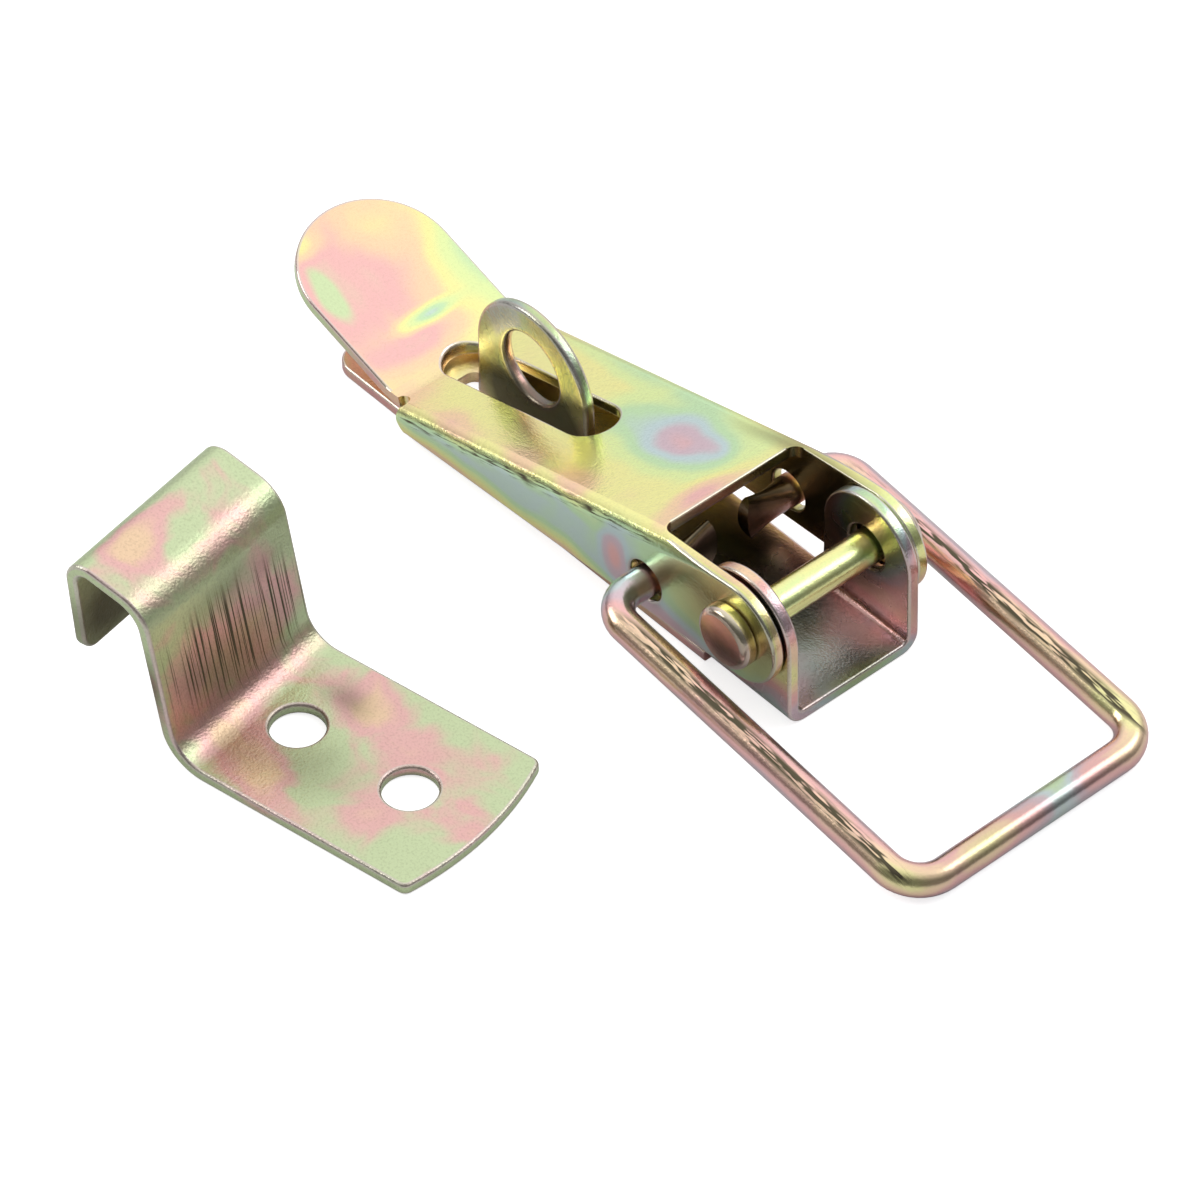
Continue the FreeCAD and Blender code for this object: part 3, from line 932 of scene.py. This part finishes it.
class LATCH_OT_catch_plate(bpy.types.Operator):
    """Hooked catch plate beside the latch"""

    bl_idname = "latch.catch_plate"
    bl_label = "Catch Plate"

    def execute(self, context):
        look = context.scene.zinc_look
        patches = [
            # Near end of the hook's top, and the riser
            ((-47, -61, 25), (7, 7, 6), -0.14),
            ((-38, -54, 11), (12, 26, 12), -0.19),
            # Foot, from its heel to its front and round its holes
            ((-31, -58, 2), (10, 8, 6), -0.17),
            ((-26, -44, 2), (13, 8, 6), -0.14),
            ((-14, -46, 2), (13, 9, 6), -0.10),
            ((-5, -50, 2), (8, 8, 6), -0.08),
            ((-15, -55, 2), (7, 7, 5), -0.10),
            ((-22, -62, 2), (10, 6, 5), -0.14),
        ]
        # Painted shade in the hook, on the riser and at the heel, over an even darkening of the
        # whole plate
        painted_shades = [
            # The whole plate, a little
            ((-25, -52, 8), (90, 90, 90), 0.16),
            # Painted shade on the foot near its heel
            ((-29, -45, 2), (6, 4, 3), 0.45),
            ((-25, -55, 2), (12, 8, 3), 0.34),
            ((-33, -60, 2), (9, 5, 4), 0.25),
            # Painted shade inside the hook, then on the riser
            ((-48.5, -57, 15), (6, 22, 9), 1.0),
            ((-38, -54, 8), (4.6, 18, 9), 0.50),
            ((-39.5, -52, 17), (3.4, 16, 4), 0.36),
        ]
        streaks = {
            "pattern": {
                "Across": (-math.sin(CATCH_TURN), math.cos(CATCH_TURN), 0.0),
                "Density": 2700.0,
                "Along": (0.0, 0.0, 1.0),
                "Length": 24.0,
                "Threshold": 0.57,
            },
            "where": [((-39.0, -54, 10), (5, 26, 10), 2.0)],
        }
        material = zinc_material(
            "catch zinc",
            look,
            film=(0.945, 0.34),
            swirl=(110.0, 5),
            satin=(0.36, 1.3),
            veil=0.12,
            patches=patches,
            painted_shades=painted_shades,
            streaks=streaks,
        )
        dress("catch_plate", "base", material, [(CATCH_ROUND, anywhere)])
        return {"FINISHED"}


def make_floor():
    """Pale floor that stays white to the camera and keeps a faint shadow."""
    mesh = bpy.data.meshes.new("floor")
    bm = bmesh.new()
    bmesh.ops.create_grid(bm, x_segments=1, y_segments=1, size=FLOOR_HALF)
    bmesh.ops.translate(bm, vec=(0, 0, -FLOOR_DROP), verts=bm.verts)
    bm.to_mesh(mesh)
    bm.free()
    floor = bpy.data.objects.new("floor", mesh)
    bpy.context.scene.collection.objects.link(floor)
    material = bpy.data.materials.new("pale floor")
    material.use_nodes = True
    tree = material.node_tree
    surface = tree.nodes["Principled BSDF"]
    feed(tree, surface, Base_Color=FLOOR_COLOUR, Roughness=FLOOR_ROUGHNESS)
    path = tree.nodes.new("ShaderNodeLightPath")
    glow = maths(tree, "MULTIPLY", path.outputs["Is Camera Ray"], FLOOR_GLOW)
    feed(tree, surface, Specular_IOR_Level=0.0, Emission_Color=WHITE, Emission_Strength=glow)
    mesh.materials.append(material)


def make_sky(studio):
    """World that is white to the camera and a soft gradient to the metal."""
    world = bpy.data.worlds.new("studio")
    bpy.context.scene.world = world
    world.use_nodes = True
    tree = world.node_tree
    tree.nodes.clear()
    path = tree.nodes.new("ShaderNodeLightPath")
    direction = tree.nodes.new("ShaderNodeTexCoord").outputs["Generated"]
    brightest = Vector(SKY_BRIGHTEST).normalized()
    towards = vector_maths(tree, "DOT_PRODUCT", direction, brightest)
    level = new_node(tree, "ShaderNodeMapRange", interpolation_type="SMOOTHSTEP")
    feed(tree, level, Value=towards.outputs["Value"], From_Min=SKY_SPAN[0], From_Max=SKY_SPAN[1])
    feed(tree, level, To_Min=SKY_LEVELS[0], To_Max=SKY_LEVELS[1])
    soft = maths(tree, "MULTIPLY", level.outputs["Result"], studio.sky)
    light = feed(tree, tree.nodes.new("ShaderNodeBackground"), Strength=soft)
    white = feed(tree, tree.nodes.new("ShaderNodeBackground"), Color=WHITE)
    mix = feed(tree, tree.nodes.new("ShaderNodeMixShader"), Fac=path.outputs["Is Camera Ray"])
    tree.links.new(light.outputs[0], mix.inputs[1])
    tree.links.new(white.outputs[0], mix.inputs[2])
    output = tree.nodes.new("ShaderNodeOutputWorld")
    tree.links.new(mix.outputs[0], output.inputs["Surface"])


def make_lamp(name, place, size, power):
    """Square softbox that faces the middle of the studio."""
    lamp = bpy.data.lights.new(name, "AREA")
    lamp.shape = "SQUARE"
    lamp.size = size
    lamp.energy = power
    holder = bpy.data.objects.new(name, lamp)
    bpy.context.scene.collection.objects.link(holder)
    holder.location = place
    sight = Vector(STUDIO_MIDDLE) - Vector(place)
    holder.rotation_euler = sight.to_track_quat("-Z", "Y").to_euler()


def make_camera(studio):
    """Camera at the angle that the latch was photographed from."""
    camera = bpy.data.cameras.new("camera")
    camera.lens = studio.lens
    holder = bpy.data.objects.new("camera", camera)
    bpy.context.scene.collection.objects.link(holder)
    across, ahead = math.cos(studio.azimuth), math.sin(studio.azimuth)
    level, rise = math.cos(studio.elevation), math.sin(studio.elevation)
    back = Vector((ahead * level, -across * level, rise))
    right = Vector((across, ahead, 0))
    up = back.cross(right)
    target = Vector(studio.aim) + right * studio.aim_right + up * studio.aim_up
    turn = Matrix.Rotation(studio.roll, 3, "Z")
    basis = Matrix((right, up, back)).transposed() @ turn
    holder.matrix_world = Matrix.Translation(target + back * studio.distance) @ basis.to_4x4()
    camera.clip_start = NEAREST_SEEN
    camera.clip_end = FURTHEST_SEEN
    bpy.context.scene.camera = holder


class LATCH_OT_stage(bpy.types.Operator):
    """Floor, soft light and camera"""

    bl_idname = "latch.stage"
    bl_label = "Stage"

    def execute(self, context):
        studio = context.scene.studio_look
        context.scene.view_settings.view_transform = "Standard"
        make_floor()
        make_sky(studio)
        make_lamp("left softbox", *LEFT_SOFTBOX, studio.softbox)
        make_lamp("right softbox", *RIGHT_SOFTBOX, studio.softbox * RIGHT_SHARE)
        make_camera(studio)
        return {"FINISHED"}


class LATCH_PT_sidebar(bpy.types.Panel):
    """Buttons that make the pieces and the stage"""

    bl_label = "Toggle Latch"
    bl_idname = "LATCH_PT_sidebar"
    bl_space_type = "VIEW_3D"
    bl_region_type = "UI"
    bl_category = "Toggle Latch"

    def draw(self, context):
        for operator in OPERATORS:
            self.layout.operator(operator.bl_idname)


OPERATORS = (
    LATCH_OT_base_plate,
    LATCH_OT_lever,
    LATCH_OT_pivot_pin,
    LATCH_OT_wire_bail,
    LATCH_OT_catch_plate,
    LATCH_OT_stage,
)
CLASSES = (ZincLook, StudioLook, *OPERATORS, LATCH_PT_sidebar)


def register():
    """Add the classes, and the looks to the scene."""
    for cls in CLASSES:
        bpy.utils.register_class(cls)
    bpy.types.Scene.zinc_look = PointerProperty(type=ZincLook)
    bpy.types.Scene.studio_look = PointerProperty(type=StudioLook)


def unregister():
    """Take them away again, last one first."""
    del bpy.types.Scene.studio_look
    del bpy.types.Scene.zinc_look
    for cls in reversed(CLASSES):
        bpy.utils.unregister_class(cls)


def main():
    """Make every piece and the stage."""
    register()
    bpy.ops.latch.base_plate()
    bpy.ops.latch.lever()
    bpy.ops.latch.pivot_pin()
    bpy.ops.latch.wire_bail()
    bpy.ops.latch.catch_plate()
    bpy.ops.latch.stage()


if __name__ == "__main__":
    main()
